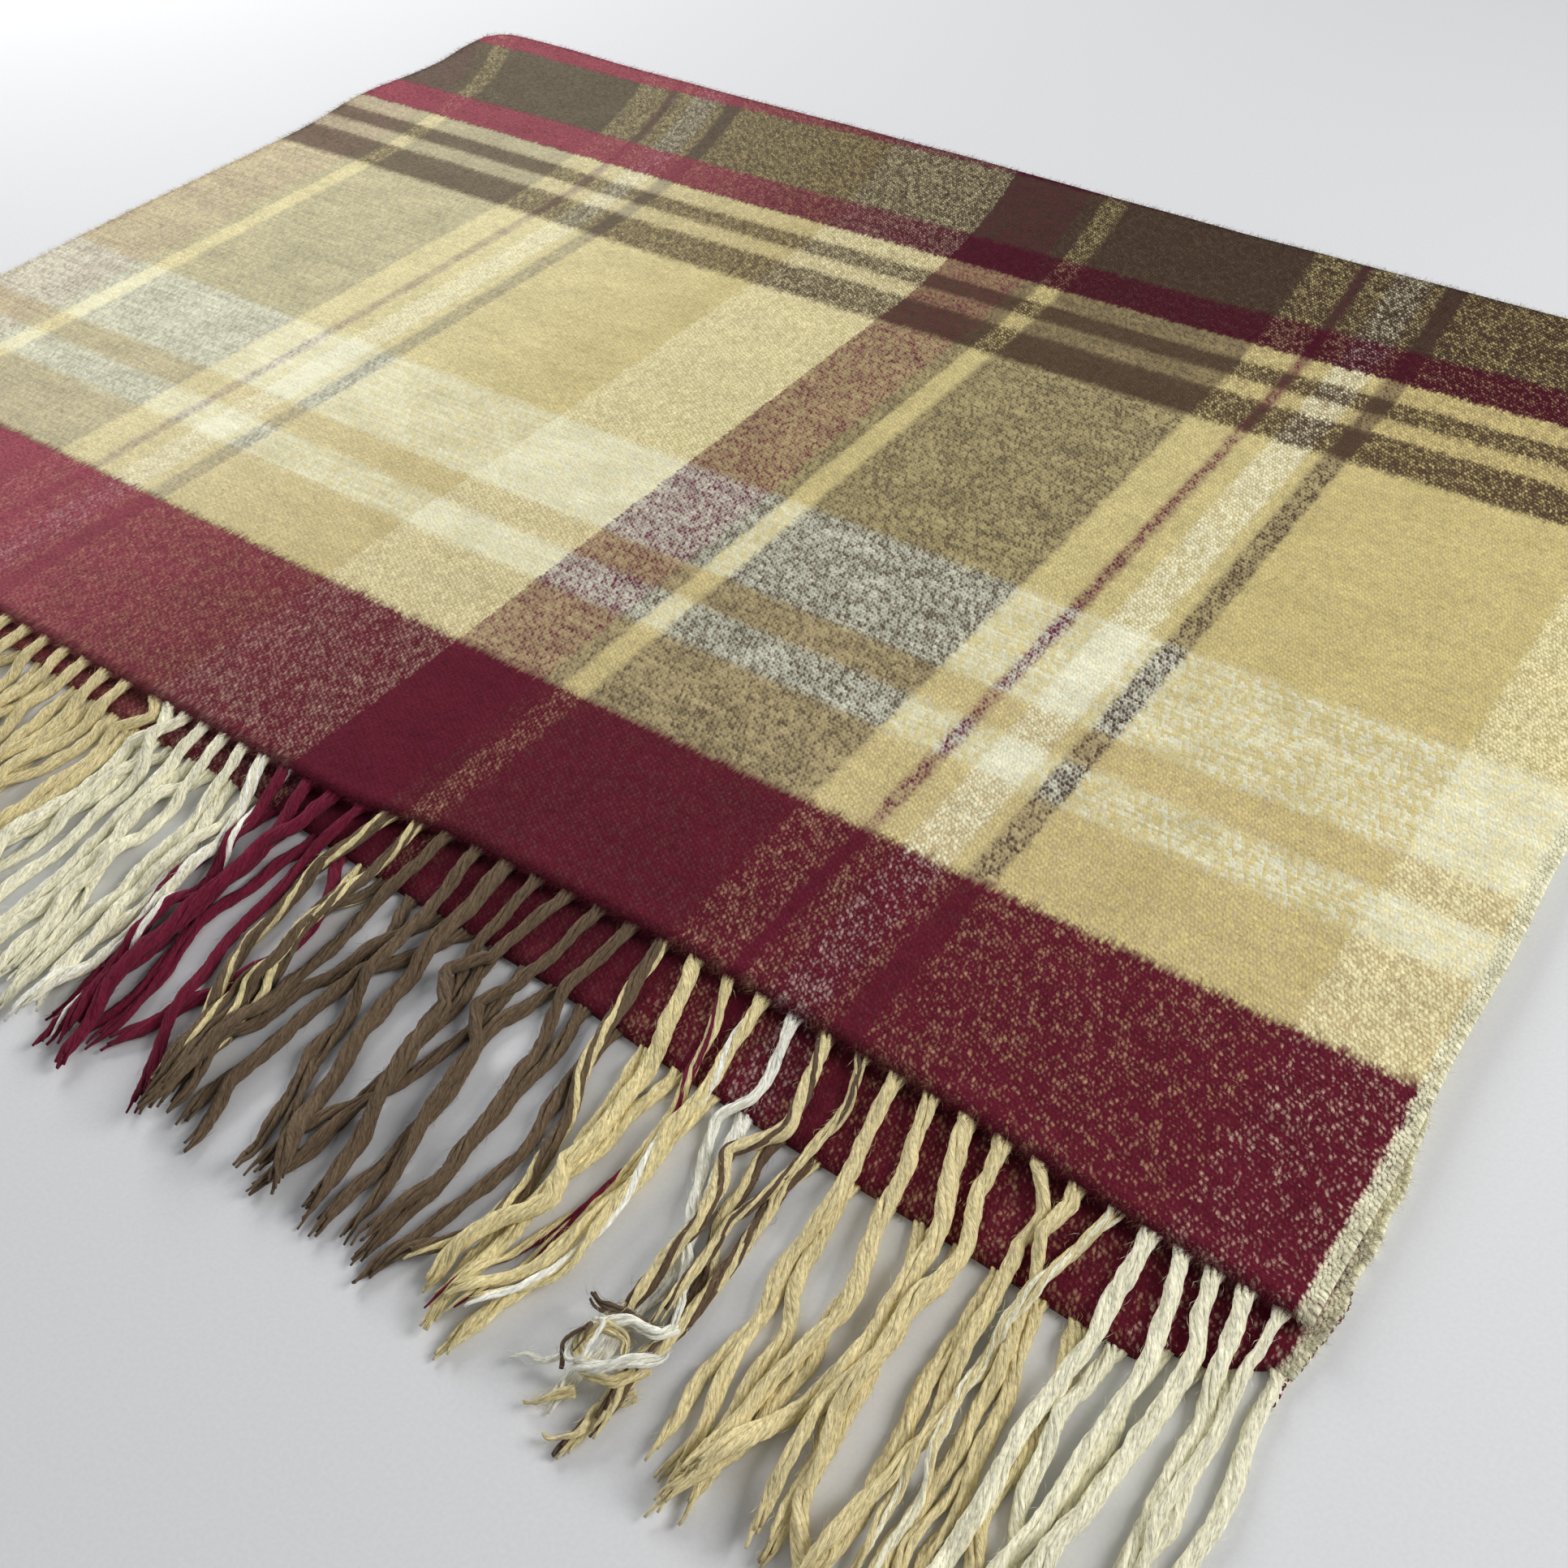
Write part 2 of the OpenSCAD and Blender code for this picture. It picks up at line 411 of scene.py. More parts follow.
def joined(shapes):
    """Several shapes as one."""
    starts = np.cumsum([0] + [len(shape[0]) for shape in shapes[:-1]])
    return (
        np.concatenate([shape[0] for shape in shapes]),
        np.concatenate([shape[1] + start for shape, start in zip(shapes, starts)]),
        np.concatenate([shape[2] for shape in shapes]),
        np.concatenate([shape[3] for shape in shapes]),
    )


def tube(path, radius, sides, twist, lobe_depth, uv_start):
    """A soft two-ply yarn along a path, with closed ends."""
    _, sideways, upward = path_axes(path)
    angle = np.linspace(0, TAU, sides, endpoint=False)
    length = lengths(path)
    phase = length * twist
    uneven = 1 + normal(0, 0.04, (len(path), sides))
    swollen = radius[:, None] * uneven * (1 + lobe_depth * np.cos(2 * (angle[None, :] - phase[:, None])))
    ring = (
        path[:, None, :]
        + sideways[:, None, :] * (np.cos(angle)[None, :] * swollen)[..., None]
        + upward[:, None, :] * (np.sin(angle)[None, :] * swollen)[..., None]
    )
    count = len(path)
    index = np.arange(count * sides).reshape(count, sides)
    here, there = index[:-1], index[1:]
    quads = np.stack([here, there, np.roll(there, -1, 1), np.roll(here, -1, 1)], 2).reshape(-1)
    corners = np.concatenate([quads, index[0], index[-1][::-1]])
    sizes = np.concatenate([np.full((count - 1) * sides, 4), [sides, sides]])
    around = np.arange(sides + 1)[None, :] / sides - (phase / TAU)[:, None]
    along = np.repeat((length + uv_start)[:, None], sides + 1, 1)
    uv = np.stack([along, around], 2)
    quad_uv = np.stack([uv[:-1, :-1], uv[1:, :-1], uv[1:, 1:], uv[:-1, 1:]], 2).reshape(-1, 2)
    uvs = np.concatenate([quad_uv, uv[0, :-1], uv[-1, :-1]])
    return ring.reshape(-1, 3), corners, sizes, uvs


def spindles(base, along, bend, reach, radius, uv):
    """Thin closed fibres, pointed at both ends and bent in the middle."""
    side = unit(np.cross(along, bend + [0.011, 0.023, 0.037]))
    other = np.cross(along, side)
    middle = base + along * reach[:, None] * 0.5 + bend * reach[:, None]
    points = [base]
    for turn in (0, TAU / 3, 2 * TAU / 3):
        points.append(middle + (side * math.cos(turn) + other * math.sin(turn)) * radius[:, None])
    points.append(base + along * reach[:, None])
    points = np.stack(points, 1)
    one = np.array([0, 2, 1, 0, 3, 2, 0, 1, 3, 1, 2, 4, 2, 3, 4, 3, 1, 4])
    corners = (one[None, :] + 5 * np.arange(len(base))[:, None]).reshape(-1)
    return points.reshape(-1, 3), corners, np.full(len(base) * 6, 3), np.repeat(uv, 18, axis=0)


# ---- The cloth ----
def cloth_ring(share, row):
    """One cross-section across the width: outer and inner points, and the cloth's own two coordinates there.

    Rows run from the upper hem (0) over the fold (1 to 2) to the lower hem (3)."""
    if row <= 1:
        x, y = upper_place(share, row)
        top = upper_top(x, y)
        outer, inner = np.stack([x, y, top], 1), np.stack([x, y, top - CLOTH_T], 1)
        return outer, inner, stripe_place(share, x, y), upper_length(x, y)
    if row >= 2:
        x, y = lower_place(share, 3 - row)
        outer, inner = np.stack([x, y, 0 * x], 1), np.stack([x, y, 0 * x + CLOTH_T], 1)
        return outer, inner, stripe_place(share, x, y), lower_length(x, y)
    turned = row - 1
    angle = math.pi / 2 - turned * math.pi
    upper_x, upper_y = upper_place(share, 1)
    lower_x, lower_y = lower_place(share, 1)
    x = upper_x + (lower_x - upper_x) * turned
    y = upper_y + (lower_y - upper_y) * turned
    raised = lift(upper_x, upper_y)
    centre_z = (STACK_H + raised) / 2
    plump = (STACK_H + raised) / STACK_H
    across, up = math.cos(angle), math.sin(angle)
    outer = np.stack([x, y + TURN_R * across * plump ** 0.5, centre_z + TURN_R * plump * up], 1)
    inner_y = y + (TURN_R * plump ** 0.5 - CLOTH_T) * across
    inner = np.stack([x, inner_y, centre_z + (TURN_R * plump - CLOTH_T) * up], 1)
    length = upper_length(upper_x, upper_y) + TURN_R * (math.pi / 2 - abs(angle))
    return outer, inner, stripe_place(share, x, y), length


def build_cloth(material):
    """The whole throw as one closed sheet, folded once."""
    columns, flat_rows, fold_rows, edge_steps = 158, 108, 12, 4
    share = np.linspace(0, 1, columns)
    rows = np.concatenate([
        np.linspace(0, 1, flat_rows, endpoint=False),
        np.linspace(1, 2, fold_rows, endpoint=False),
        np.linspace(2, 3, flat_rows),
    ])
    turn = np.linspace(0, math.pi, edge_steps + 2)[1:-1]
    rings, uvs = [], []
    for row in rows:
        outer, inner, *own_place = cloth_ring(share, row)
        ends = []
        for side, index in ((1, -1), (-1, 0)):
            middle = (outer[index] + inner[index]) / 2
            up = (outer[index] - inner[index]) / 2
            out = np.array([side * np.linalg.norm(up), 0, 0])
            ends.append([middle + up * math.cos(a) + out * math.sin(a) for a in turn])
        rings.append(np.concatenate([outer, ends[0], inner[::-1], ends[1][::-1]]))
        uvs.append(np.stack([
            np.concatenate([own, np.full(edge_steps, own[-1]), own[::-1], np.full(edge_steps, own[0])])
            for own in own_place
        ], 1))
    points, uv = np.stack(rings), np.stack(uvs).reshape(-1, 2)
    count, around = points.shape[:2]
    index = np.arange(count * around).reshape(count, around)
    here, there = index[:-1], index[1:]
    quads = np.stack([here, np.roll(here, -1, 1), np.roll(there, -1, 1), there], 2).reshape(-1, 4)
    # Each hem closes with a strip of quads, from the middle of one rounded edge to the middle of the other
    hems = []
    for ring, step in ((index[0], -1), (index[-1], 1)):
        ring = np.roll(ring, edge_steps // 2)
        for k in range(around // 2 - 1):
            hems.append([ring[k], ring[k + 1], ring[-(k + 2)], ring[-(k + 1)]][::step])
    corners = np.concatenate([quads, np.array(hems)]).reshape(-1)
    shape = points.reshape(-1, 3), corners, np.full(len(corners) // 4, 4), uv[corners]
    return make_object("throw_cloth", shape, [material])


def near_upper_edges(share, row):
    """Moves fibres to the upper layer's edges: five of eight to the hem, one to each other edge."""
    edge = random.integers(0, 8, len(share))
    close = np.abs(normal(0, 0.003, len(share)))
    row = np.where(edge <= 4, close, np.where(edge == 5, 1 - close, row))
    share = np.where(edge == 6, close, np.where(edge == 7, 1 - close, share))
    return share, row


def along_lower_edges(share, row):
    """Moves fibres to where the lower layer shows, in front of and beside the upper one."""
    at_hem = uniform(0, 1, len(share)) < 0.75
    row = np.where(at_hem, row * 0.045, row * 0.2)
    share = np.where(at_hem, share, 1 - np.abs(normal(0, 0.004, len(share))))
    return share, row


def nap(name, layer, count, material, moved=None):
    """Fine fibres brushed up from a layer's face. moved takes them to where they are wanted."""
    place, length_of, top_of = FACES[layer]
    share, row = uniform(0, 1, count), uniform(0, 1, count)
    if moved is not None:
        share, row = moved(share, row)
    x, y = place(share, row)
    base = np.stack([x, y, top_of(x, y) - 0.1 * MM], 1)
    base[:, 2] -= uniform(0, 0.9, count) * CLOTH_T * (row < 0.003)
    heading = uniform(0, TAU, count)
    rise = uniform(0.05, 0.38, count) * np.clip((TOP_LIMIT + 0.8 * MM - base[:, 2]) / (3 * MM), 0, 1)
    # The fibres of the edges point outwards
    right = np.cos(heading) + 1.2 * (share > 0.99) - 1.2 * (share < 0.01)
    back = np.sin(heading) + 1.4 * (row > 0.985) - 1.6 * (row < 0.015)
    along = unit(np.stack([right, back, 0 * rise], 1))
    along = unit(along + np.stack([0 * rise, 0 * rise, rise], 1))
    bend = normal(0, 0.12, (count, 3))
    bend[:, 2] = np.abs(bend[:, 2]) * rise
    reach = uniform(1.5, 4.5, count) * MM
    radius = uniform(0.03, 0.055, count) * MM
    uv = np.stack([stripe_place(share, x, y), length_of(x, y)], 1)
    return make_object(name, spindles(base, along, bend, reach, radius, uv), [material])


# ---- The fringe ----
SUPPORT_STEP = 1.0 * MM
SUPPORT_X0, SUPPORT_Y0 = -0.40, -0.335
support = np.zeros((800, 180))


def start_support():
    """The height of what a tassel lies on: the floor, and the lower layer where it shows."""
    x = SUPPORT_X0 + np.arange(support.shape[0]) * SUPPORT_STEP
    y = SUPPORT_Y0 + np.arange(support.shape[1]) * SUPPORT_STEP
    covered = (y[None, :] > lower_hem_y(x)[:, None]) & (x > LOWER_LEFT)[:, None] & (x < LOWER_RIGHT)[:, None]
    support[covered] = CLOTH_T


def smoothed(values, width):
    """A running average with soft ends, width samples wide."""
    kernel = np.hanning(width + 2)[1:-1]
    kernel /= kernel.sum()
    padded = np.pad(values, width // 2, mode="edge")
    return np.convolve(padded, kernel, "valid")[: len(values)]


def lay_down(x, y, half_width, half_height, start_z):
    """Heights of a centreline that rests on what is under it, and adds itself to the support."""
    cell_x, cell_y = (x - SUPPORT_X0) / SUPPORT_STEP, (y - SUPPORT_Y0) / SUPPORT_STEP
    reach = max(1, int(half_width * 0.7 / SUPPORT_STEP))
    under = np.zeros(len(x))
    for k in range(len(x)):
        i = int(np.clip(cell_x[k], reach, support.shape[0] - reach - 1))
        j = int(np.clip(cell_y[k], reach, support.shape[1] - reach - 1))
        under[k] = support[i - reach:i + reach + 1, j - reach:j + reach + 1].max()
    window = 7
    padded = np.pad(under, window // 2, mode="edge")
    highest = np.array([padded[k:k + window].max() for k in range(len(x))])
    rest = smoothed(highest, 13) + half_height
    leave = ease(np.arange(len(x)) * RING_STEP / (LANDS_AT * MM))
    z = keep_under(start_z * (1 - leave) + rest * leave, TOP_LIMIT - half_height, 0.8 * MM)
    reach = int(half_width / SUPPORT_STEP) + 1
    for k in range(len(x)):
        i, j = int(cell_x[k]), int(cell_y[k])
        i0, j0, i1, j1 = i - reach, j - reach, i + reach + 1, j + reach + 1
        if i0 < 0 or j0 < 0 or i1 >= support.shape[0] or j1 >= support.shape[1]:
            continue
        di = (np.arange(i0, i1) - cell_x[k])[:, None] * SUPPORT_STEP
        dj = (np.arange(j0, j1) - cell_y[k])[None, :] * SUPPORT_STEP
        inside = 1 - (di ** 2 + dj ** 2) / half_width ** 2
        top = z[k] + 0.45 * half_height * np.sqrt(np.clip(inside, 0, 1))
        patch = support[i0:i1, j0:j1]
        patch[inside > 0] = np.maximum(patch, top)[inside > 0]
    return z


def tassel_plan(root_x, root_y, length, drifts, kink):
    """The plan of one tassel from the hem, drifting sideways as seen or guessed."""
    count = int(length / RING_STEP)
    share = np.linspace(0, 1, count)
    side = smoothed(np.interp(share, [0, 0.25, 0.5, 0.75, 1], [0, *drifts]), 25)
    side -= side[0] * (1 - ease(share * 8))
    if kink:
        place, step = kink
        side = side + step * np.clip(1 - np.abs(share - place) / 0.085, 0, 1) ** 0.8
    wave_length = uniform(0.22, 0.42)
    wave = np.sin(share / wave_length * TAU + uniform(0, 6))
    side = side + 0.5 * wave * ease(share * 5)
    side = side + smoothed(normal(0, 1.2, count), 17) * ease(share * 8)
    return root_x + side * MM, root_y - share * length


def route_plan(root_x, root_y, points):
    """The plan of a tassel along given points, with softly rounded corners."""
    points = np.array(points, float) * MM
    ends = lengths(points)
    along = np.linspace(0, ends[-1], int(ends[-1] / RING_STEP))
    right = smoothed(np.interp(along, ends, points[:, 0]), 5)
    forward = smoothed(np.interp(along, ends, points[:, 1]), 5)
    return root_x + right, root_y - forward


def hairs(path, axes, radius, length, uv_start):
    """Loose fibres that stand out of one yarn."""
    tangent, sideways, upward = axes
    at = random.integers(1, len(path) - 2, YARN_HAIRS)
    angle = uniform(-0.5, math.pi + 0.5, YARN_HAIRS)
    outward = sideways[at] * np.cos(angle)[:, None] + upward[at] * np.sin(angle)[:, None]
    onward = tangent[at] * random.choice([-1, 1], YARN_HAIRS)[:, None]
    along = unit(onward + outward * uniform(0.1, 0.7, YARN_HAIRS)[:, None])
    base = path[at] + outward * radius[at][:, None] * 0.85
    base[:, 2] = np.clip(base[:, 2], 0.3 * MM, TOP_LIMIT)
    # Near the height limit they lie flat
    along[:, 2] = np.abs(along[:, 2]) * np.clip((TOP_LIMIT - base[:, 2]) / (4 * MM), 0, 1)
    reach = uniform(1.6, 5.0, YARN_HAIRS) * MM
    bend = normal(0, 0.12, (YARN_HAIRS, 3)) * [1, 1, 0.2]
    uv = np.stack([length[at] + uv_start, angle], 1)
    return spindles(base, along, bend, reach, np.full(YARN_HAIRS, 0.04 * MM), uv)


def bundle(shapes, slots, centre, size, own_slots, uv_start, fanned, split):
    """A tassel's yarns: they fan out of the hem, gather, and wind loosely round each other."""
    count = len(centre)
    axes = path_axes(centre)
    _, sideways, upward = axes
    length = lengths(centre)
    share = length / length[-1]
    gather = ease(length / (GATHERED_AT * MM)) if fanned else np.ones(count)
    turn = TAU * length / (uniform(38, 60) * MM)
    phase = uniform(0, TAU)
    # The first yarn is the core, with the rest round it. In the hem they lie side by side
    rim = len(own_slots) - 1
    first_turn = np.array([phase + k * TAU / max(rim, 1) for k in range(rim + 1)])
    order = np.argsort(np.argsort(np.cos(first_turn) * (np.arange(rim + 1) > 0))) - rim / 2
    apart = 2.4 * split * ease((share - 0.45) / 0.4)
    free = ease(length / (6 * MM))
    for k, slot in enumerate(own_slots):
        out = 0.0 if k == 0 and rim > 2 else size
        side = out * BUNDLE_SIDE * np.cos(first_turn[k] + turn)
        up = out * BUNDLE_UP * np.sin(first_turn[k] + turn)
        side = side * gather + order[k] * FAN_STEP * (1 - gather) + apart * np.sign(order[k] + 0.5)
        up = up * gather + uniform(-0.4, 0.3) * (1 - gather)
        crimp_length = uniform(4.2, 6.0) * MM
        side = side + 0.08 * np.sin(length / crimp_length * TAU + uniform(0, 6))
        side = side + smoothed(normal(0, 0.6, count), 11) * free
        up = up + smoothed(normal(0, 0.5, count), 13) * free
        path = centre + sideways * (side * MM)[:, None] + upward * (up * MM)[:, None]
        stop = int(count * (1 - uniform(0, 0.09)))
        path = path[:stop]
        to_tip = (length[stop - 1] - length[:stop]) / (9 * MM)
        uneven = smoothed(normal(1, 0.14, stop), 9)
        radius = YARN_R * MM * size * uneven * (0.4 + 0.6 * ease(to_tip))
        if fanned:
            radius *= 0.62 + 0.38 * ease(length[:stop] / (8 * MM))
        path[:, 2] = np.clip(path[:, 2], radius + 0.05 * MM, TOP_LIMIT + 0.4 * MM - radius)
        yarn = tube(path, radius, YARN_SIDES, TAU / PLY_TURN, PLY_DEPTH, uv_start + 0.11 * k)
        for shape in (yarn, hairs(path, axes, radius, length, uv_start)):
            shapes.append(shape)
            slots.append(np.full(len(shape[2]), slot))


def yarn_slots(kind, materials_used, strand):
    """Which material each of a tassel's seven yarns has."""
    main, second, seconds = TASSEL_MIX.get(kind, (kind, kind, 0))
    chosen = [main] * (7 - seconds) + [second] * seconds
    random.shuffle(chosen)
    if strand:
        odd, how_many = strand
        for k in range(how_many):
            chosen[1 + 2 * k] = odd
    for yarn in chosen:
        if yarn not in materials_used:
            materials_used.append(yarn)
    return [materials_used.index(yarn) for yarn in chosen]


def build_tassel(shapes, slots, used, key, layer, number, root_x):
    """One tassel, along the way it lies."""
    side, yarn, place = key
    size = uniform(0.92, 1.08)
    strand, split = None, 1.0 if uniform() < 0.22 else 0.0
    if layer == "upper":
        root_y = float(upper_hem_y(root_x))
        hem_z = STACK_H - CLOTH_T / 2 + float(lift(root_x, root_y + INSIDE_HEM[0] * MM)) - 0.25 * MM
        length = UPPER_TASSEL_LEN * uniform(0.95, 1.0) - max(0, FRONT_Y - root_y)
        known = DRIFTS.get((side, yarn))
        drifts = known[place] if known else tuple(np.cumsum(normal(2.5, 3.2, 4)))
        x, y = tassel_plan(root_x, root_y, length, drifts, KINKS.get(key))
        if key in ROUTES:
            x, y = route_plan(root_x, root_y, ROUTES[key])
            split = 0.0
        size *= 1.22 if key in THICK_TASSELS else 0.74 if key in THIN_TASSELS else 1.0
        strand = STRANDS.get(key)
    else:
        root_y, hem_z = float(lower_hem_y(root_x)), CLOTH_T / 2
        length = LOWER_TASSEL_LEN * uniform(0.9, 1.0)
        x, y = tassel_plan(root_x, root_y, length, tuple(np.cumsum(normal(1.2, 5.0, 4))), None)
    half_width = (BUNDLE_SIDE + YARN_R) * size * MM
    half_height = (BUNDLE_UP + YARN_R) * size * MM
    z = lay_down(x, y, half_width, half_height, hem_z)
    centre = np.stack([x, y, z], 1)
    inside_hem = np.array([[x[0], y[0] + back * MM, hem_z] for back in INSIDE_HEM])
    centre = np.concatenate([inside_hem, centre])
    uv_start = number * 1.37 + (200 if layer == "lower" else 0)
    chosen = yarn_slots(yarn, used, strand)
    bundle(shapes, slots, centre, size, chosen, uv_start, True, split)


def knot_strands(shapes, slots, used, wanted, root_x, root_y):
    """The loops and ends of the knot that are made of the wanted yarns."""
    for number, (yarn, how_many, points) in enumerate(KNOT):
        if yarn not in wanted:
            continue
        if yarn not in used:
            used.append(yarn)
        points = np.array(points, float)
        ends = lengths(points)
        along = np.linspace(0, ends[-1], int(ends[-1] / 0.8))
        right, forward, height = (smoothed(np.interp(along, ends, points[:, axis]), 7) for axis in range(3))
        height = np.minimum(height * MM, TOP_LIMIT - 2 * MM)
        centre = np.stack([root_x + right * MM, root_y - forward * MM, height], 1)
        size = 0.8 if how_many > 1 else 0.6
        bundle(shapes, slots, centre, size, [used.index(yarn)] * how_many, 400 + number, False, 0.0)


def tassel_roots(layer, side, yarn, count):
    """Where a group's tassels leave the hem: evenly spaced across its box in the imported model."""
    low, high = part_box(f"upper_{side}_{yarn}_tassels")
    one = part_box("upper_right_white_tassels")
    tassel_w = one[1].x - one[0].x
    aside = 0 if layer == "upper" else LOWER_LEFT - UPPER_LEFT
    return np.linspace(low.x + tassel_w / 2, high.x - tassel_w / 2, count) + aside


def build_fringe(layer, materials):
    """The tassels of one layer, one piece for each CAD node."""
    made, number = [], 0
    white_root = tassel_roots("upper", "right", "white", 1)[0]
    for side in ("left", "right"):
        for yarn, count in zip(TASSEL_ORDER, TASSEL_COUNTS[side]):
            shapes, slots, used = [], [], [TASSEL_MIX.get(yarn, [yarn])[0]]
            roots = tassel_roots(layer, side, yarn, count)
            for place, root_x in enumerate(roots):
                build_tassel(shapes, slots, used, (side, yarn, place), layer, number, root_x)
                number += 1
            if (layer, side) == ("upper", "right") and yarn in ("white", "taupe"):
                wanted = ("white",) if yarn == "white" else ("umber", "tan", "brown")
                knot_strands(shapes, slots, used, wanted, white_root, float(upper_hem_y(white_root)))
            own = [materials[name] for name in used]
            piece = make_object(f"{layer}_{side}_{yarn}_fringe", joined(shapes), own, np.concatenate(slots))
            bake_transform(piece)
            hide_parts(f"{layer}_{side}_{yarn}_tassels")
            made.append(piece)
    return made


def edge_loops(material):
    """Small loops of yarn in the lower layer's selvedge near its front corner."""
    shapes = []
    for k in range(30):
        y = FRONT_Y + (10 - 1.2 * k + uniform(-0.6, 0.6)) * MM
        share = np.array([1.0])
        front, back = lower_hem_y(LOWER_RIGHT), back_y(LOWER_RIGHT)
        x, _ = lower_place(share, (y - front) / (back - front))
        size = uniform(0.4, 1.3) * MM
        turn = np.linspace(-1.9, 1.9, 12)
        height = CLOTH_T * uniform(0.35, 0.8)
        path = np.stack([
            x[0] + size * (0.2 + np.cos(turn)),
            y + size * 0.7 * np.sin(turn),
            height + size * 0.35 * np.cos(turn) + 0.2 * MM * np.sin(3 * turn),
        ], 1)
        path[:, 2] = np.maximum(path[:, 2], 0.4 * MM)
        shapes.append(tube(path, np.full(12, uniform(0.13, 0.22) * MM), 6, 900, 0.1, 600 + k))
    return make_object("selvedge_loops", joined(shapes), [material])


# ---- Materials ----
def base_colour(look, alpha=1.0):
    """A linear base colour, with alpha, from how the yarn looks in the scene's light, 0 to 255."""
    shown = np.array(look) / 255
    from_srgb = np.where(shown <= 0.04045, shown / 12.92, ((shown + 0.055) / 1.055) ** 2.4)
    return (*(float(c) for c in np.clip(from_srgb / LIGHT_LEVEL, 0, 0.95)), alpha)


def feed(socket, value):
    """Links a socket to another node's output, or sets its constant."""
    if isinstance(value, bpy.types.NodeSocket):
        socket.id_data.links.new(value, socket)
    else:
        socket.default_value = value


def add_node(tree, kind, inputs=(), **settings):
    """A new node. inputs give sockets or constants by the name or number of its input."""
    made = tree.nodes.new(kind)
    for name, value in settings.items():
        setattr(made, name, value)
    for key, value in dict(inputs).items():
        feed(made.inputs[key], value)
    return made


def tree_of(*values):
    """The node tree that the first socket among the values belongs to."""
    return next(value.id_data for value in values if isinstance(value, bpy.types.NodeSocket))


def calc(operation, *values):
    return add_node(tree_of(*values), "ShaderNodeMath", enumerate(values), operation=operation).outputs[0]


def times(*values):
    product = values[0]
    for value in values[1:]:
        product = calc("MULTIPLY", product, value)
    return product


def minus(a, b):
    return calc("SUBTRACT", a, b)


def weighted(*pairs):
    """A sum of values times weights."""
    total = 0.0
    for value, weight in pairs:
        total = calc("MULTIPLY_ADD", value, weight, total)
    return total


def wandering(value, *noises):
    """A value plus noises times weights, with each noise's middle at 0."""
    middle = sum(weight for _, weight in noises) / 2
    return weighted((value, 1.0), *noises, (1.0, -middle))


def map_range(value, low, high, new_low, new_high, kind="LINEAR"):
    given = enumerate((value, low, high, new_low, new_high))
    return add_node(tree_of(value), "ShaderNodeMapRange", given, interpolation_type=kind).outputs[0]


def spread(given_noise, low, high):
    """A noise, which is mostly between 0.3 and 0.7, spread from low to high."""
    return map_range(given_noise, 0.3, 0.7, low, high)


def mix_colour(share, a, b, mode="MIX"):
    tree, given = tree_of(share, a, b), {0: share, 6: a, 7: b}
    return add_node(tree, "ShaderNodeMix", given, data_type="RGBA", blend_type=mode).outputs[2]


def shaded(colour, shade):
    grey = add_node(tree_of(shade), "ShaderNodeCombineXYZ", {axis: shade for axis in range(3)})
    return mix_colour(1.0, colour, grey.outputs[0], "MULTIPLY")


def noise(x, y, x_size, y_size, seed, detail=2.0, roughness=0.5):
    """Smooth noise from about 0.25 to 0.75, with features of the given sizes."""
    tree = tree_of(x)
    place = add_node(tree, "ShaderNodeCombineXYZ", {
        0: calc("DIVIDE", x, x_size), 1: calc("DIVIDE", y, y_size), 2: seed,
    })
    made = add_node(tree, "ShaderNodeTexNoise", {
        "Vector": place.outputs[0], "Scale": 1.0, "Detail": detail, "Roughness": roughness,
    })
    return made.outputs["Fac"]


def stripes(position, bands, colour_of, soft):
    """A ramp of stripes with edges 2 x soft wide. bands are (width, yarn). Gives colour and alpha."""
    total = sum(width for width, _ in bands)
    made = add_node(tree_of(position), "ShaderNodeValToRGB", {0: calc("DIVIDE", position, total)})
    stops, start = [], 0.0
    for width, yarn in bands:
        colour = colour_of(yarn)
        stops.append((max(0.0, start + soft) / total, colour))
        start += width
        stops.append((min(total, start - soft) / total, colour))
    ramp = made.color_ramp
    while len(ramp.elements) < len(stops):
        ramp.elements.new(0.5)
    for element, (place, colour) in zip(ramp.elements, sorted(stops)):
        element.position = place
        element.color = colour
    return made.outputs[0], made.outputs[1]


def principled(material, colour, roughness, bump_height, bump_distance, sheen):
    """Finishes a cloth material: soft, rough, with a faint sheen from its nap."""
    tree = material.node_tree
    bumped = add_node(tree, "ShaderNodeBump", {
        "Strength": 0.9, "Distance": bump_distance, "Height": bump_height,
    })
    given = {
        "Base Color": colour, "Roughness": roughness, "Specular IOR Level": 0.03, "Sheen Weight": sheen,
        "Sheen Roughness": 0.5, "Normal": bumped.outputs["Normal"],
    }
    for name, value in given.items():
        feed(tree.nodes["Principled BSDF"].inputs[name], value)


def new_material(name):
    material = bpy.data.materials.new(name)
    material.use_nodes = True
    return material, material.node_tree


def cloth_coordinates(tree):
    """The cloth's own coordinates: the two UV directions."""
    uv = add_node(tree, "ShaderNodeUVMap", uv_map="cloth")
    split = add_node(tree, "ShaderNodeSeparateXYZ", {0: uv.outputs[0]})
    return split.outputs[0], split.outputs[1]


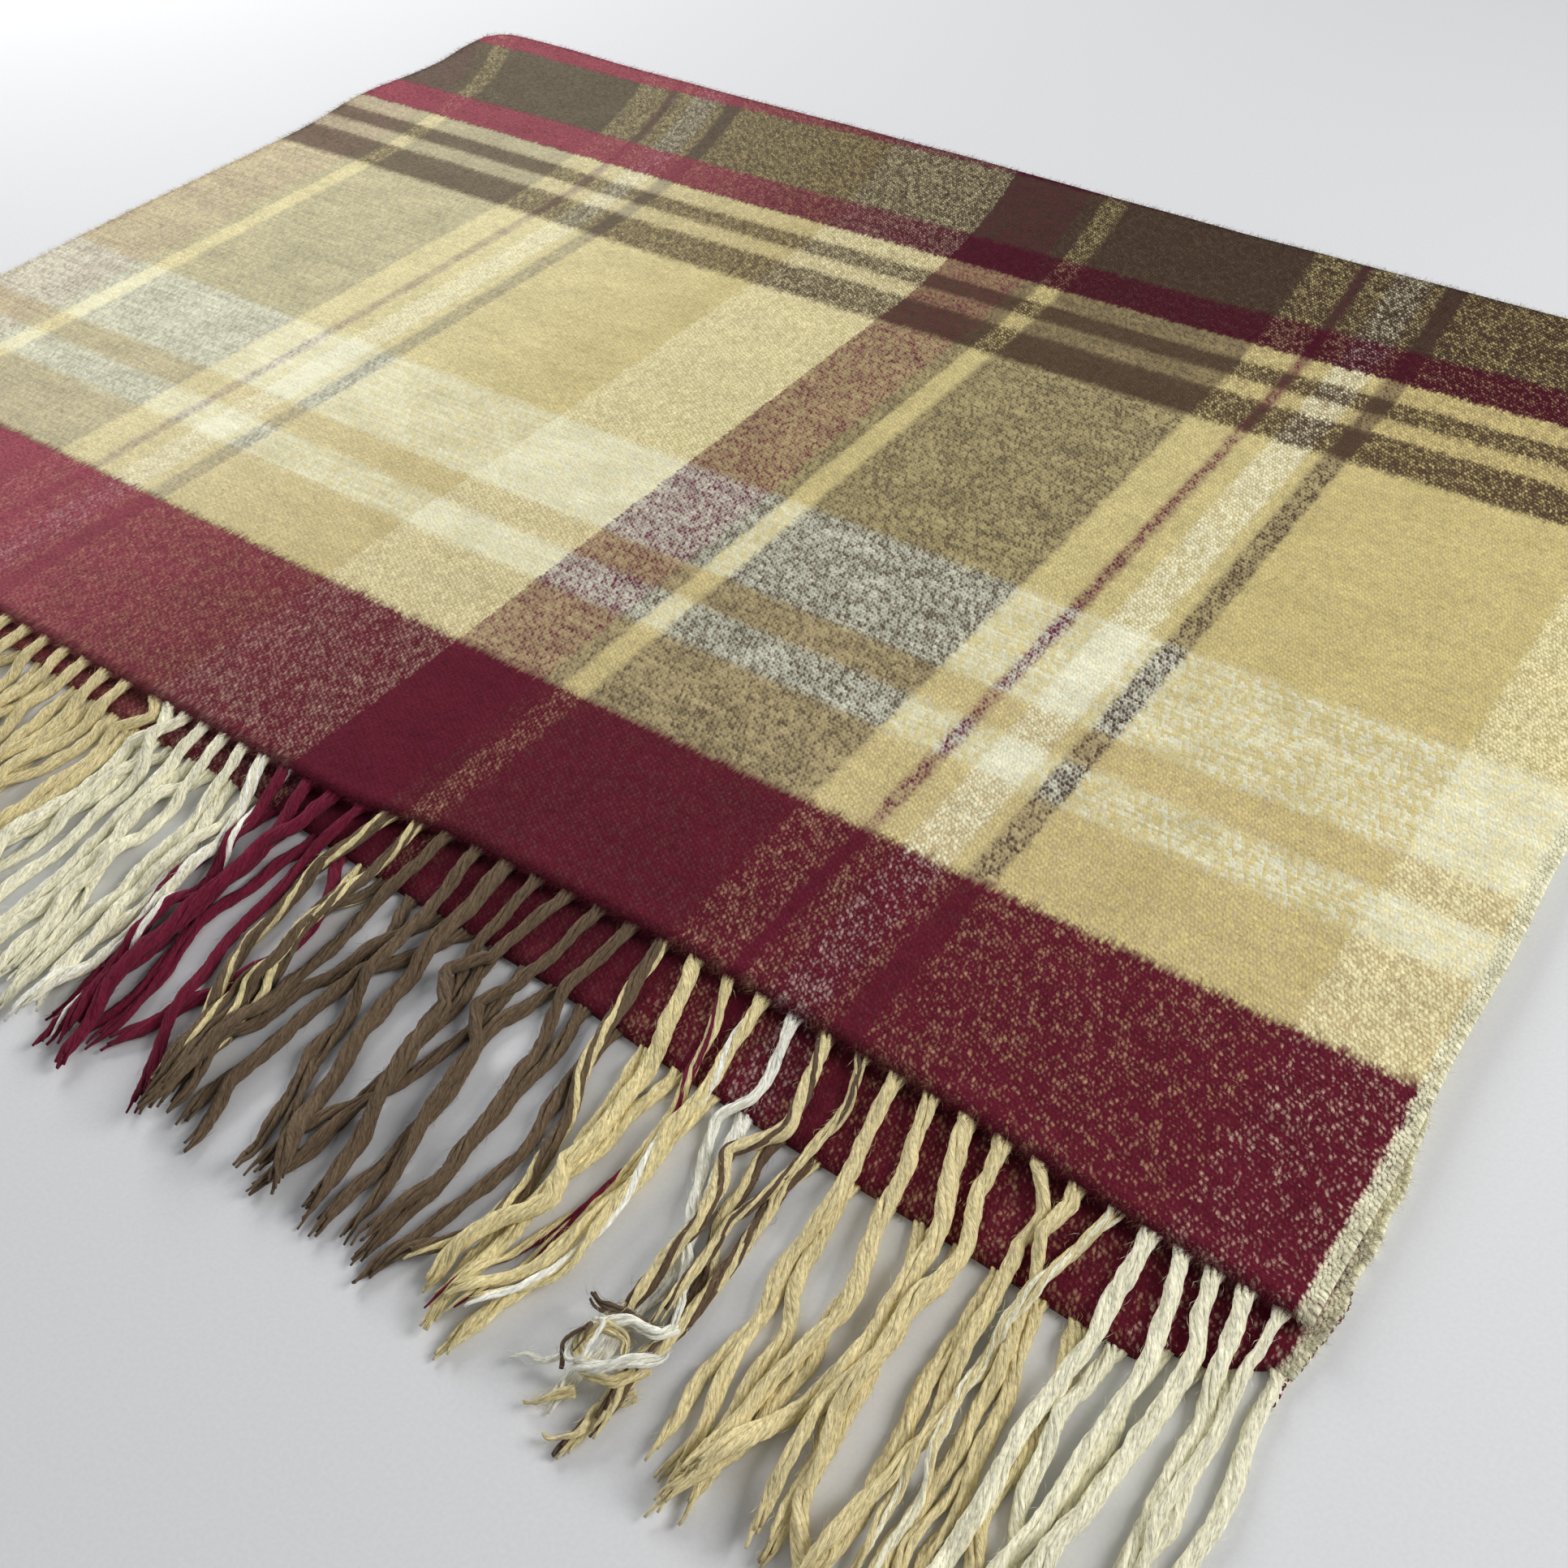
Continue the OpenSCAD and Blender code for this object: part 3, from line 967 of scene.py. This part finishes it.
def twill(across, along):
    """Short floats in a diagonal twill: their height, and a random number for each float."""
    column = calc("DIVIDE", weighted((across, 1.0), (along, TWILL_SLANT)), FLOAT_W)
    column_number = calc("FLOOR", column)
    in_column = calc("ABSOLUTE", minus(calc("FRACT", column), 0.5))
    float_place = calc("ADD", calc("DIVIDE", along, FLOAT_L), times(column_number, TWILL_STEP))
    in_float = calc("ABSOLUTE", minus(calc("FRACT", float_place), 0.5))
    height = weighted((in_float, -1.25), (in_column, -0.75), (1.0, 1.0))
    tree = tree_of(across)
    cell = add_node(tree, "ShaderNodeCombineXYZ", {0: column_number, 1: calc("FLOOR", float_place)})
    own = add_node(tree, "ShaderNodeTexWhiteNoise", {"Vector": cell.outputs[0]}, noise_dimensions="2D")
    return height, own.outputs["Value"]


def stripe_colours(across, along, brushing_and_painted_light, fuzz):
    """The warp's and the weft's colour, and the amounts of weft cover, of burgundy nap that also carries
    painted light, and of selvedge.
    """
    # The nap feathers the edges of the stripes
    from_margin = minus(across, LEFT_MARGIN)
    warp_place = wandering(from_margin, (fuzz.wisps, 5.0), (fuzz.sway, 2.5))
    warp_place = calc("MODULO", calc("MAXIMUM", warp_place, 0.0), PLAID_PERIOD)
    weft_place = wandering(along, (fuzz.long_wisps, 8.0), (fuzz.weft_sway, 2.5))
    warp_colour, _ = stripes(warp_place, WARP, lambda yarn: base_colour(WARP_LOOKS[yarn]), 0.7)
    weft_colour, cover = stripes(weft_place, WEFT, lambda yarn: base_colour(*WEFT_LOOKS[yarn]), 1.2)
    # The burgundy stripes, which cover best, get painted light and painted sheen where the nap has the most
    # brushing, which makes them rosier and lighter, and tint the warp behind them
    full_cover = map_range(cover, 0.85, 0.94, 0.0, 1.0)
    burgundy_nap_and_painted_light = times(brushing_and_painted_light, full_cover)
    painted_rose_light = times(burgundy_nap_and_painted_light, spread(fuzz.wisps, 0.20, 0.52))
    weft_colour = mix_colour(painted_rose_light, weft_colour, base_colour(PAINTED_ROSE_LIGHT_LOOK))
    warp_colour = mix_colour(full_cover, warp_colour, FLECK_TINT, "MULTIPLY")
    # The selvedge is an open, pale twill
    selvedge = map_range(across, SELVEDGE_FROM - 0.8, SELVEDGE_FROM + 0.8, 0.0, 1.0)
    warp_colour = mix_colour(selvedge, warp_colour, base_colour(WARP_LOOKS["selvedge"]))
    cover = calc("ADD", cover, times(selvedge, minus(SELVEDGE_COVER, cover)))
    return warp_colour, weft_colour, cover, burgundy_nap_and_painted_light, selvedge


def warp_shown(across, brushing_and_painted_light, cover, burgundy_nap_and_painted_light, float_height, own, fuzz):
    """How much of the warp shows at a point, and how crisp the floats are."""
    crisp = map_range(brushing_and_painted_light, 0.0, 1.0, 0.46, 0.20)
    level = wandering(
        times(minus(float_height, 0.5), crisp), (fuzz.wisps, 0.60), (fuzz.hairs, 0.30),
        (fuzz.cross_hairs, 0.25), (own, 0.34), (fuzz.clumps, 0.55),
    )
    hidden = wandering(cover, (fuzz.slub, 0.55), (fuzz.patchy, 0.30))
    hidden = weighted((hidden, 1.0), (brushing_and_painted_light, 0.08), (burgundy_nap_and_painted_light, 0.15))
    gap = minus(level, times(minus(hidden, 0.5), 0.62))
    softness = map_range(across, 200.0, 700.0, 0.60, 0.26)
    shown = map_range(gap, times(softness, -1.0), softness, 0.0, 1.0, "SMOOTHSTEP")
    # A weft that covers well also veils the warp's floats with its own fibres
    return times(shown, map_range(cover, 0.75, 0.95, 1.0, 0.55)), crisp


def plaid_material(name):
    """Brushed twill: the warp shows in short floats through the weft, with a nap over both."""
    material, tree = new_material(name)
    u, v = cloth_coordinates(tree)
    across, along = times(u, 1 / MM), times(v, 1 / MM)
    fuzz = SimpleNamespace(**{key: noise(across, along, *given) for key, given in PLAID_NOISES.items()})
    # The left of the throw has more brushing than the right. The same mask paints light and sheen on the left
    # side
    brushing_and_painted_light = map_range(across, 130.0, 400.0, 1.0, 0.0, "SMOOTHSTEP")
    warp_colour, weft_colour, cover, burgundy_nap_and_painted_light, selvedge = stripe_colours(across, along, brushing_and_painted_light, fuzz)
    swayed_across = weighted((across, 1.0), (fuzz.sway, 3.0))
    swayed_along = weighted((along, 1.0), (fuzz.weft_sway, 3.5), (fuzz.wisps, 1.3))
    float_height, own = twill(swayed_across, swayed_along)
    shown, crisp = warp_shown(across, brushing_and_painted_light, cover, burgundy_nap_and_painted_light, float_height, own, fuzz)
    colour = mix_colour(shown, weft_colour, warp_colour)
    # Painted sheen: a pale film over the left side, thinner over wefts that cover well
    thinned = map_range(cover, 0.5, 0.9, 1.0, 0.15)
    painted_sheen = times(brushing_and_painted_light, spread(fuzz.cross_hairs, 0.20, 0.42), thinned)
    colour = mix_colour(painted_sheen, colour, base_colour(PAINTED_SHEEN_LOOK))
    # Painted shade in the gaps between the floats, and painted highlight on the tips of the nap
    relief = weighted(
        (float_height, crisp), (fuzz.wisps, 0.9), (fuzz.hairs, 0.8), (fuzz.cross_hairs, 0.6),
    )
    mottled = weighted((fuzz.patchy, 0.5), (fuzz.clumps, 0.5))
    holes = times(selvedge, map_range(float_height, 0.15, 0.45, 0.5, 0.0))
    shade = times(
        map_range(relief, 0.95, 1.85, 0.72, 1.24),
        map_range(mottled, 0.35, 0.65, 0.88, 1.12),
        spread(fuzz.slub, 0.93, 1.07),
        # Painted light: the left side made up to 1.28 times brighter
        map_range(brushing_and_painted_light, 0.0, 1.0, 1.0, 1.28),
        minus(1.0, holes),
    )
    roughness = spread(fuzz.wisps, 0.88, 0.98)
    principled(material, shaded(colour, shade), roughness, relief, 0.5 * MM, 0.03)
    return material


def yarn_material(name, look):
    """A soft two-ply yarn, streaked with fine fibres along its twist in painted highlight and painted shade,
    and with painted shade between its plies.
    """
    material, tree = new_material(name)
    u, around = cloth_coordinates(tree)
    length = times(u, 1 / MM)
    streak = noise(length, around, 7.0, 0.06, 0.0, 3.0, 0.6)
    fleck = noise(length, around, 1.7, 0.12, 5.0, 3.0, 0.65)
    slow = noise(length, around, 30.0, 3.0, 9.0)
    ply = calc("COSINE", times(around, 2 * TAU))
    relief = weighted((streak, 1.0), (fleck, 1.1), (ply, 0.05))
    # Painted highlight and painted shade from the fibre streaks and the groove between the plies, over a slow
    # random tone
    shade = times(map_range(relief, 0.72, 1.38, 0.52, 1.68), spread(slow, 0.88, 1.12))
    roughness = spread(streak, 0.85, 0.97)
    principled(material, shaded(base_colour(look), shade), roughness, relief, 0.4 * MM, 0.08)
    return material


def floor_material():
    """A plain pale surface with a barely visible grain."""
    material, tree = new_material("pale_floor")
    position = add_node(tree, "ShaderNodeNewGeometry").outputs["Position"]
    split = add_node(tree, "ShaderNodeSeparateXYZ", {0: position})
    grain = noise(split.outputs[0], split.outputs[1], 1.1 * MM, 1.1 * MM, 0.0)
    shade = spread(grain, 0.97, 1.02)
    shader = tree.nodes["Principled BSDF"]
    feed(shader.inputs["Base Color"], shaded((0.765, 0.768, 0.775, 1), shade))
    shader.inputs["Roughness"].default_value = 0.75
    return material


# ---- Stage ----
def add_floor():
    bpy.ops.mesh.primitive_plane_add(size=14, location=(0, 0, 0))
    floor = bpy.context.object
    floor.name = "floor"
    floor.data.materials.append(floor_material())


def add_light(name, place, target, size, power, colour):
    data = bpy.data.lights.new(name, "AREA")
    data.shape = "SQUARE"
    data.size = size
    data.energy = power
    data.color = colour
    light = add_object(name, data)
    light.location = place
    light.rotation_euler = (Vector(target) - Vector(place)).to_track_quat("-Z", "Y").to_euler()


def add_lighting():
    world = bpy.data.worlds.new("studio")
    bpy.context.scene.world = world
    world.use_nodes = True
    background = world.node_tree.nodes["Background"]
    background.inputs["Color"].default_value = (0.94, 0.96, 1.0, 1)
    background.inputs["Strength"].default_value = 0.30
    add_light("right_window", (1.15, 0.35, 0.80), (0.15, -0.2, 0), 0.6, 11, (1.0, 0.99, 0.98))
    add_light("back_left_window", (-1.25, 0.60, 0.90), (-0.15, -0.1, 0), 0.9, 18, (1.0, 1.0, 1.0))


def add_camera():
    """Close to the front right corner, looking down and to the left across the throw."""
    heading, tilt, roll = 38.44, 90 - 43.56, -3.71
    across = 379.7 * MM
    hem_to_camera = 216.2 * MM
    above_throw = 351.1 * MM
    data = bpy.data.cameras.new("camera")
    data.sensor_width = 36
    data.lens = 38.47
    data.clip_start = 0.01
    camera = add_object("camera", data)
    turn = (
        Matrix.Rotation(math.radians(heading), 3, "Z")
        @ Matrix.Rotation(math.radians(tilt), 3, "X")
        @ Matrix.Rotation(math.radians(roll), 3, "Z")
    )
    place = Vector((across, FRONT_Y - hem_to_camera, STACK_H + above_throw))
    camera.matrix_world = Matrix.Translation(place) @ turn.to_4x4()
    bpy.context.scene.camera = camera


# ---- The scene ----
bpy.context.scene.view_settings.view_transform = "Standard"
add_camera()
add_lighting()
add_floor()

plaid = plaid_material("brushed_plaid")
cloth = build_cloth(plaid)
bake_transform(cloth)
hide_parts("lower_panel", "lower_fold", "upper_panel", "upper_fold")

yarns = {name: yarn_material(f"{name}_yarn", look) for name, look in YARN_LOOKS.items()}
start_support()
fringe = build_fringe("lower", yarns) + build_fringe("upper", yarns)
extras = [
    nap("upper_nap_1", "upper", NAP_FIBRES, plaid),
    nap("upper_nap_2", "upper", NAP_FIBRES, plaid),
    nap("upper_edge_nap", "upper", NAP_FIBRES, plaid, near_upper_edges),
    nap("lower_edge_nap", "lower", LOWER_NAP_FIBRES, plaid, along_lower_edges),
    edge_loops(yarns["burgundy"]),
]
for piece in extras:
    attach(piece, "upper_layer" if piece.name.startswith("upper") else "lower_layer")
